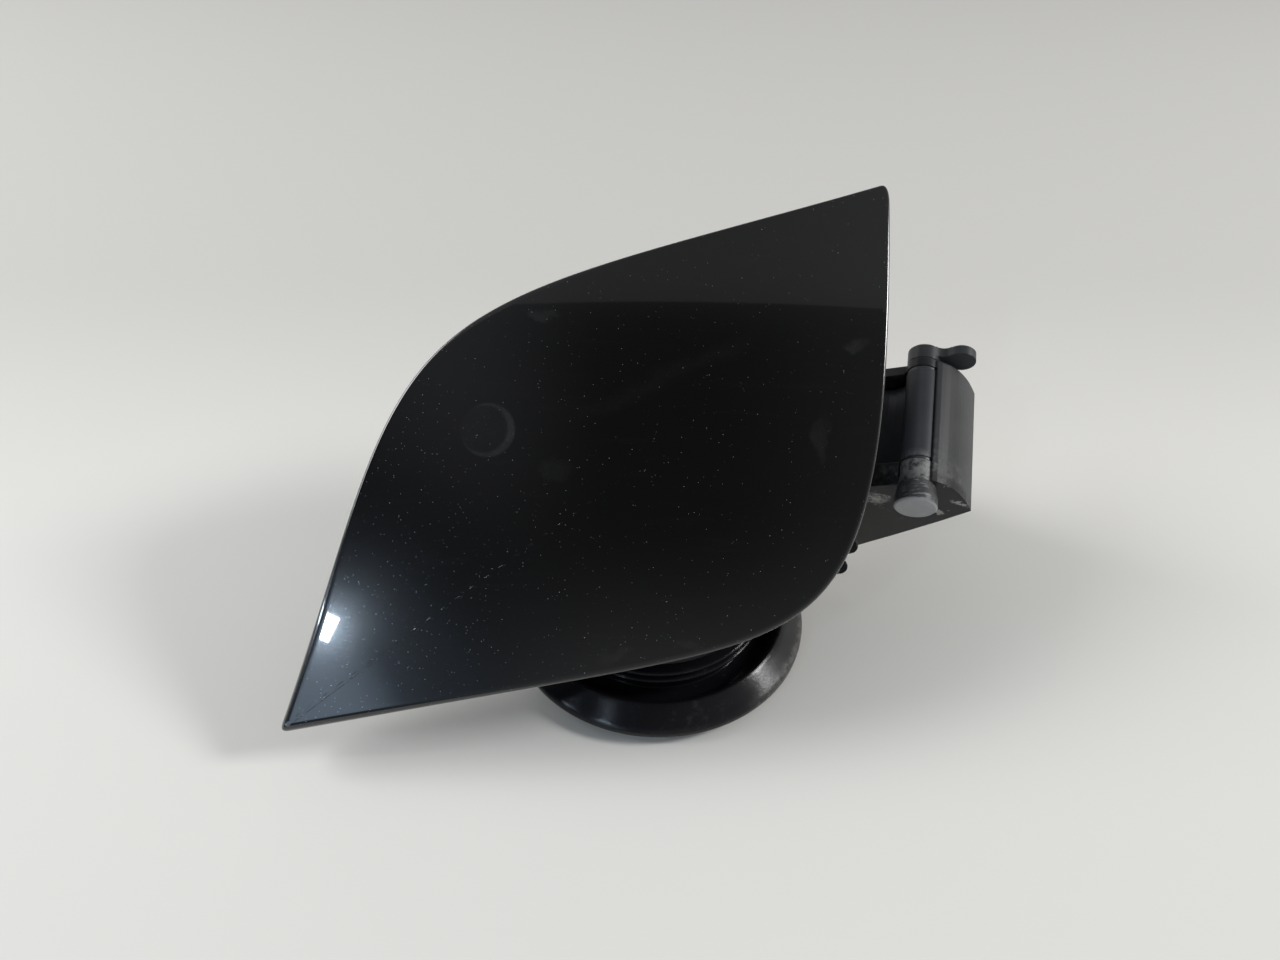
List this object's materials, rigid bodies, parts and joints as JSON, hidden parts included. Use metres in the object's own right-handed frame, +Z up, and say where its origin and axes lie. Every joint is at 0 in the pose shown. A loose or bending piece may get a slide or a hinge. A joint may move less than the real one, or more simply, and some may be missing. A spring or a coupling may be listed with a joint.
{
  "type": "car fuel door",
  "caption": "Leaf-shaped glossy fuel flap on a hinged arm, with its filler bowl, hinge pocket, lock and rubber neck seal.",
  "frame": {"origin": "centre of the neck seal's opening, on the plane of its flat foot", "axes": "+Z up along the filler neck's axis from the tank side into the bowl, +X towards the hinge, +Y towards the raised end of the sloping door"},
  "size_m": [0.1929, 0.1153, 0.1098],
  "materials": {
    "paint": "gloss black clear-coated paint on plastic",
    "carrier_plastic": "satin moulded black plastic",
    "spring_steel": "bright spring steel",
    "acetal": "smooth dark grey plastic",
    "pin_grey": "smooth pale grey plastic, scuffed",
    "washer_plastic": "smooth dark plastic",
    "housing_plastic": "satin moulded black plastic, scuffed",
    "seal_rubber": "semi-gloss black rubber",
    "bolt_steel": "plain turned steel"
  },
  "bodies": {
    "housing": {"filler_bowl": "housing_plastic", "hinge_pin": "pin_grey", "pin_keeper": "carrier_plastic", "hinge_washers": "washer_plastic", "hinge_spring": "spring_steel", "neck_seal": "seal_rubber", "cuff_band": "housing_plastic", "rim_seal": "seal_rubber", "door_buffers": "seal_rubber", "lock_body": "housing_plastic", "bolt_seal": "seal_rubber", "lock_screws": "bolt_steel"},
    "door": {"outer_panel": "paint", "inner_panel": "carrier_plastic", "push_nuts": "spring_steel", "striker": "acetal"},
    "bolt": {"lock_bolt": "bolt_steel"}
  },
  "joints": [
    {"name": "door_hinge", "type": "hinge", "parent": "housing", "child": "door", "pos_m": [0.07489, 0.02671, 0.05503], "axis": [0.1815, 0.9138, 0.3634], "range_deg": [0, 88]},
    {"name": "lock_bolt_slide", "type": "slide", "parent": "housing", "child": "bolt", "axis": [1, 0, 0], "range_m": [0, 0.007]}
  ]
}
